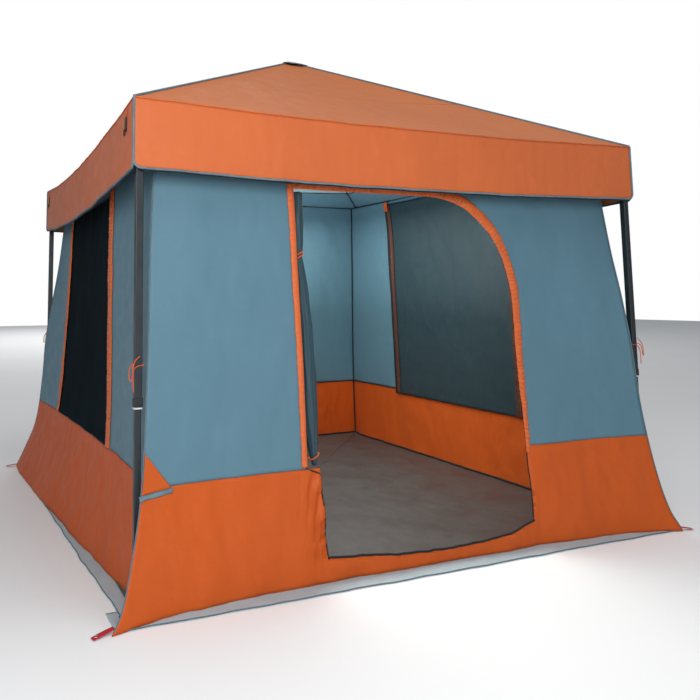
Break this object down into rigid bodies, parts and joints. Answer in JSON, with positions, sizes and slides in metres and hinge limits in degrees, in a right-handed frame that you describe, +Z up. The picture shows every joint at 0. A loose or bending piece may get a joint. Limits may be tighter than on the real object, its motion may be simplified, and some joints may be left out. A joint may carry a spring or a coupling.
{
  "type": "pop up tent",
  "caption": "Walk-in pop-up shelter with a folding hub frame, pyramid canopy with valances, and a hung cabin with arched door, side windows and groundsheet.",
  "frame": {"origin": "middle of the cabin's floor plan, on the ground", "axes": "+Z up, -Y out through the door, +X to the right of someone who faces +Y"},
  "size_m": [2.9448, 2.8748, 2.638],
  "materials": {
    "hub_plastic": "black moulded nylon",
    "arm_tube": "dark powder coat",
    "bracket_plastic": "black moulded nylon",
    "leg_tube": "dark navy powder coat",
    "button_steel": "bright steel",
    "canopy_cloth": "coated polyester",
    "valance_cloth": "coated polyester",
    "patch_cloth": "reinforcement patch",
    "piping": "grey-blue piping",
    "wall_cloth": "blue-grey coated polyester",
    "skirt_cloth": "orange coated polyester",
    "trim_cloth": "gathered orange binding",
    "ceiling_cloth": "light blue lining",
    "door_cloth": "dark door panel",
    "mesh": "fine insect mesh",
    "flap_cloth": "closed window panel",
    "groundsheet": "woven polyethylene",
    "ground_flap": "grey coated cloth",
    "webbing": "black webbing",
    "peg_webbing": "red webbing",
    "tie_cord": "braided cord",
    "white_plastic": "white moulding",
    "eyelet": "brass eyelet"
  },
  "bodies": {
    "hub": {"hub_body": "hub_plastic", "peak_cap": "patch_cloth"},
    "inner_arm_fl": {"inner_arm_fl": "arm_tube"},
    "outer_arm_fl": {"outer_arm_fl": "arm_tube"},
    "leg_fl": {"corner_bracket_fl": "bracket_plastic", "upper_leg_fl": "leg_tube", "collar_fl": "bracket_plastic", "tie_fl": "tie_cord"},
    "foot_leg_fl": {"lower_leg_fl": "leg_tube"},
    "lock_fl": {"lock_button_fl": "button_steel"},
    "inner_arm_fr": {"inner_arm_fr": "arm_tube"},
    "outer_arm_fr": {"outer_arm_fr": "arm_tube"},
    "leg_fr": {"corner_bracket_fr": "bracket_plastic", "upper_leg_fr": "leg_tube", "collar_fr": "bracket_plastic", "tie_fr": "tie_cord"},
    "foot_leg_fr": {"lower_leg_fr": "leg_tube"},
    "lock_fr": {"lock_button_fr": "button_steel"},
    "inner_arm_bl": {"inner_arm_bl": "arm_tube"},
    "outer_arm_bl": {"outer_arm_bl": "arm_tube"},
    "leg_bl": {"corner_bracket_bl": "bracket_plastic", "upper_leg_bl": "leg_tube", "collar_bl": "bracket_plastic", "tie_bl": "tie_cord"},
    "foot_leg_bl": {"lower_leg_bl": "leg_tube"},
    "lock_bl": {"lock_button_bl": "button_steel"},
    "inner_arm_br": {"inner_arm_br": "arm_tube"},
    "outer_arm_br": {"outer_arm_br": "arm_tube"},
    "leg_br": {"corner_bracket_br": "bracket_plastic", "upper_leg_br": "leg_tube", "collar_br": "bracket_plastic", "tie_br": "tie_cord"},
    "foot_leg_br": {"lower_leg_br": "leg_tube"},
    "lock_br": {"lock_button_br": "button_steel"},
    "roof_upper_front": {"canopy_upper_front": "canopy_cloth"},
    "roof_lower_front": {"canopy_lower_front": "canopy_cloth"},
    "side_front": {"valance_front": "valance_cloth", "wall_front": "wall_cloth", "door_roll": "door_cloth"},
    "ground_front": {"floor_front": "groundsheet"},
    "roof_upper_back": {"canopy_upper_back": "canopy_cloth"},
    "roof_lower_back": {"canopy_lower_back": "canopy_cloth"},
    "side_back": {"valance_back": "valance_cloth", "wall_back": "wall_cloth"},
    "ground_back": {"floor_back": "groundsheet"},
    "roof_upper_left": {"canopy_upper_left": "canopy_cloth"},
    "roof_lower_left": {"canopy_lower_left": "canopy_cloth"},
    "side_left": {"valance_left": "valance_cloth", "wall_left": "wall_cloth", "guy_rings_left": "webbing", "window_left": "mesh"},
    "ground_left": {"floor_left": "groundsheet"},
    "roof_upper_right": {"canopy_upper_right": "canopy_cloth"},
    "roof_lower_right": {"canopy_lower_right": "canopy_cloth"},
    "side_right": {"valance_right": "valance_cloth", "wall_right": "wall_cloth", "guy_rings_right": "webbing", "window_right": "flap_cloth"},
    "ground_right": {"floor_right": "groundsheet"}
  },
  "joints": [
    {"name": "fold", "type": "hinge", "parent": "hub", "child": "inner_arm_fl", "pos_m": [-0.03535, -0.03535, 2.52], "axis": [0.7071, -0.7071, 0], "range_deg": [0, 64.36], "deforming": ["canopy_upper_front", "canopy_lower_front", "valance_front", "wall_front", "door_roll", "floor_front", "canopy_upper_back", "canopy_lower_back", "valance_back", "wall_back", "floor_back", "canopy_upper_left", "canopy_lower_left", "valance_left", "wall_left", "guy_rings_left", "window_left", "floor_left", "canopy_upper_right", "canopy_lower_right", "valance_right", "wall_right", "guy_rings_right", "window_right", "floor_right"]},
    {"name": "fold_outer_fl", "type": "hinge", "parent": "inner_arm_fl", "child": "outer_arm_fl", "pos_m": [-0.64962, -0.64962, 2.21], "axis": [0.7071, -0.7071, 0], "range_deg": [-160.23, 0]},
    {"name": "fold_leg_fl", "type": "hinge", "parent": "outer_arm_fl", "child": "leg_fl", "pos_m": [-1.26389, -1.26389, 1.9], "axis": [0.7071, -0.7071, 0], "range_deg": [0, 95.87]},
    {"name": "leg_slide_fl", "type": "slide", "parent": "leg_fl", "child": "foot_leg_fl", "axis": [0, 0, 1], "range_m": [0, 0.68]},
    {"name": "lock_press_fl", "type": "slide", "parent": "leg_fl", "child": "lock_fl", "axis": [0, -1, 0], "range_m": [0, 0.0028], "stiffness_N_per_m": 300},
    {"name": "fold_inner_fr", "type": "hinge", "parent": "hub", "child": "inner_arm_fr", "pos_m": [0.03535, -0.03535, 2.52], "axis": [0.7071, 0.7071, 0], "range_deg": [0, 64.36]},
    {"name": "fold_outer_fr", "type": "hinge", "parent": "inner_arm_fr", "child": "outer_arm_fr", "pos_m": [0.64962, -0.64962, 2.21], "axis": [0.7071, 0.7071, 0], "range_deg": [-160.23, 0]},
    {"name": "fold_leg_fr", "type": "hinge", "parent": "outer_arm_fr", "child": "leg_fr", "pos_m": [1.26389, -1.26389, 1.9], "axis": [0.7071, 0.7071, 0], "range_deg": [0, 95.87]},
    {"name": "leg_slide_fr", "type": "slide", "parent": "leg_fr", "child": "foot_leg_fr", "axis": [0, 0, 1], "range_m": [0, 0.68]},
    {"name": "lock_press_fr", "type": "slide", "parent": "leg_fr", "child": "lock_fr", "axis": [0, -1, 0], "range_m": [0, 0.0028], "stiffness_N_per_m": 300},
    {"name": "fold_inner_bl", "type": "hinge", "parent": "hub", "child": "inner_arm_bl", "pos_m": [-0.03535, 0.03535, 2.52], "axis": [-0.7071, -0.7071, 0], "range_deg": [0, 64.36]},
    {"name": "fold_outer_bl", "type": "hinge", "parent": "inner_arm_bl", "child": "outer_arm_bl", "pos_m": [-0.64962, 0.64962, 2.21], "axis": [-0.7071, -0.7071, 0], "range_deg": [-160.23, 0]},
    {"name": "fold_leg_bl", "type": "hinge", "parent": "outer_arm_bl", "child": "leg_bl", "pos_m": [-1.26389, 1.26389, 1.9], "axis": [-0.7071, -0.7071, 0], "range_deg": [0, 95.87]},
    {"name": "leg_slide_bl", "type": "slide", "parent": "leg_bl", "child": "foot_leg_bl", "axis": [0, 0, 1], "range_m": [0, 0.68]},
    {"name": "lock_press_bl", "type": "slide", "parent": "leg_bl", "child": "lock_bl", "axis": [0, 1, 0], "range_m": [0, 0.0028], "stiffness_N_per_m": 300},
    {"name": "fold_inner_br", "type": "hinge", "parent": "hub", "child": "inner_arm_br", "pos_m": [0.03535, 0.03535, 2.52], "axis": [-0.7071, 0.7071, 0], "range_deg": [0, 64.36]},
    {"name": "fold_outer_br", "type": "hinge", "parent": "inner_arm_br", "child": "outer_arm_br", "pos_m": [0.64962, 0.64962, 2.21], "axis": [-0.7071, 0.7071, 0], "range_deg": [-160.23, 0]},
    {"name": "fold_leg_br", "type": "hinge", "parent": "outer_arm_br", "child": "leg_br", "pos_m": [1.26389, 1.26389, 1.9], "axis": [-0.7071, 0.7071, 0], "range_deg": [0, 95.87]},
    {"name": "leg_slide_br", "type": "slide", "parent": "leg_br", "child": "foot_leg_br", "axis": [0, 0, 1], "range_m": [0, 0.68]},
    {"name": "lock_press_br", "type": "slide", "parent": "leg_br", "child": "lock_br", "axis": [0, 1, 0], "range_m": [0, 0.0028], "stiffness_N_per_m": 300},
    {"name": "fold_roof_upper_front", "type": "hinge", "parent": "hub", "child": "roof_upper_front", "pos_m": [0, 0, 2.638], "axis": [1, 0, 0], "range_deg": [0, 49.32]},
    {"name": "fold_roof_lower_front", "type": "hinge", "parent": "roof_upper_front", "child": "roof_lower_front", "pos_m": [0, -0.71373, 2.25501], "axis": [1, 0, 0], "range_deg": [-155.47, 0]},
    {"name": "fold_side_front", "type": "hinge", "parent": "roof_lower_front", "child": "side_front", "pos_m": [0, -1.325, 1.927], "axis": [1, 0, 0], "range_deg": [0, 106.16]},
    {"name": "fold_floor_front", "type": "hinge", "parent": "side_front", "child": "ground_front", "pos_m": [0, -1.335, 0.0035], "axis": [1, 0, 0], "range_deg": [0, 76.71]},
    {"name": "fold_roof_upper_back", "type": "hinge", "parent": "hub", "child": "roof_upper_back", "pos_m": [0, 0, 2.638], "axis": [-1, 0, 0], "range_deg": [0, 49.32]},
    {"name": "fold_roof_lower_back", "type": "hinge", "parent": "roof_upper_back", "child": "roof_lower_back", "pos_m": [0, 0.71373, 2.25501], "axis": [-1, 0, 0], "range_deg": [-155.47, 0]},
    {"name": "fold_side_back", "type": "hinge", "parent": "roof_lower_back", "child": "side_back", "pos_m": [0, 1.325, 1.927], "axis": [-1, 0, 0], "range_deg": [0, 106.16]},
    {"name": "fold_floor_back", "type": "hinge", "parent": "side_back", "child": "ground_back", "pos_m": [0, 1.335, 0.0035], "axis": [-1, 0, 0], "range_deg": [0, 76.71]},
    {"name": "fold_roof_upper_left", "type": "hinge", "parent": "hub", "child": "roof_upper_left", "pos_m": [0, 0, 2.638], "axis": [0, -1, 0], "range_deg": [0, 49.32]},
    {"name": "fold_roof_lower_left", "type": "hinge", "parent": "roof_upper_left", "child": "roof_lower_left", "pos_m": [-0.71373, 0, 2.25501], "axis": [0, -1, 0], "range_deg": [-155.47, 0]},
    {"name": "fold_side_left", "type": "hinge", "parent": "roof_lower_left", "child": "side_left", "pos_m": [-1.325, 0, 1.927], "axis": [0, -1, 0], "range_deg": [0, 106.16]},
    {"name": "fold_floor_left", "type": "hinge", "parent": "side_left", "child": "ground_left", "pos_m": [-1.275, 0, 0.0035], "axis": [0, -1, 0], "range_deg": [0, 76.71]},
    {"name": "fold_roof_upper_right", "type": "hinge", "parent": "hub", "child": "roof_upper_right", "pos_m": [0, 0, 2.638], "axis": [0, 1, 0], "range_deg": [0, 49.32]},
    {"name": "fold_roof_lower_right", "type": "hinge", "parent": "roof_upper_right", "child": "roof_lower_right", "pos_m": [0.71373, 0, 2.25501], "axis": [0, 1, 0], "range_deg": [-155.47, 0]},
    {"name": "fold_side_right", "type": "hinge", "parent": "roof_lower_right", "child": "side_right", "pos_m": [1.325, 0, 1.927], "axis": [0, 1, 0], "range_deg": [0, 106.16]},
    {"name": "fold_floor_right", "type": "hinge", "parent": "side_right", "child": "ground_right", "pos_m": [1.275, 0, 0.0035], "axis": [0, 1, 0], "range_deg": [0, 76.71]}
  ],
  "couplings": [
    {"joint": "fold_outer_fl", "follows": "fold", "ratio": -2.4894},
    {"joint": "fold_leg_fl", "follows": "fold", "ratio": 1.4894},
    {"joint": "fold_inner_fr", "follows": "fold", "ratio": 1},
    {"joint": "fold_outer_fr", "follows": "fold", "ratio": -2.4894},
    {"joint": "fold_leg_fr", "follows": "fold", "ratio": 1.4894},
    {"joint": "fold_inner_bl", "follows": "fold", "ratio": 1},
    {"joint": "fold_outer_bl", "follows": "fold", "ratio": -2.4894},
    {"joint": "fold_leg_bl", "follows": "fold", "ratio": 1.4894},
    {"joint": "fold_inner_br", "follows": "fold", "ratio": 1},
    {"joint": "fold_outer_br", "follows": "fold", "ratio": -2.4894},
    {"joint": "fold_leg_br", "follows": "fold", "ratio": 1.4894},
    {"joint": "fold_roof_upper_front", "follows": "fold", "ratio": 0.76611},
    {"joint": "fold_roof_lower_front", "follows": "fold", "ratio": -2.4154},
    {"joint": "fold_side_front", "follows": "fold", "ratio": 1.6493},
    {"joint": "fold_floor_front", "follows": "fold", "ratio": 1.1917},
    {"joint": "fold_roof_upper_back", "follows": "fold", "ratio": 0.76611},
    {"joint": "fold_roof_lower_back", "follows": "fold", "ratio": -2.4154},
    {"joint": "fold_side_back", "follows": "fold", "ratio": 1.6493},
    {"joint": "fold_floor_back", "follows": "fold", "ratio": 1.1917},
    {"joint": "fold_roof_upper_left", "follows": "fold", "ratio": 0.76611},
    {"joint": "fold_roof_lower_left", "follows": "fold", "ratio": -2.4154},
    {"joint": "fold_side_left", "follows": "fold", "ratio": 1.6493},
    {"joint": "fold_floor_left", "follows": "fold", "ratio": 1.1917},
    {"joint": "fold_roof_upper_right", "follows": "fold", "ratio": 0.76611},
    {"joint": "fold_roof_lower_right", "follows": "fold", "ratio": -2.4154},
    {"joint": "fold_side_right", "follows": "fold", "ratio": 1.6493},
    {"joint": "fold_floor_right", "follows": "fold", "ratio": 1.1917}
  ]
}
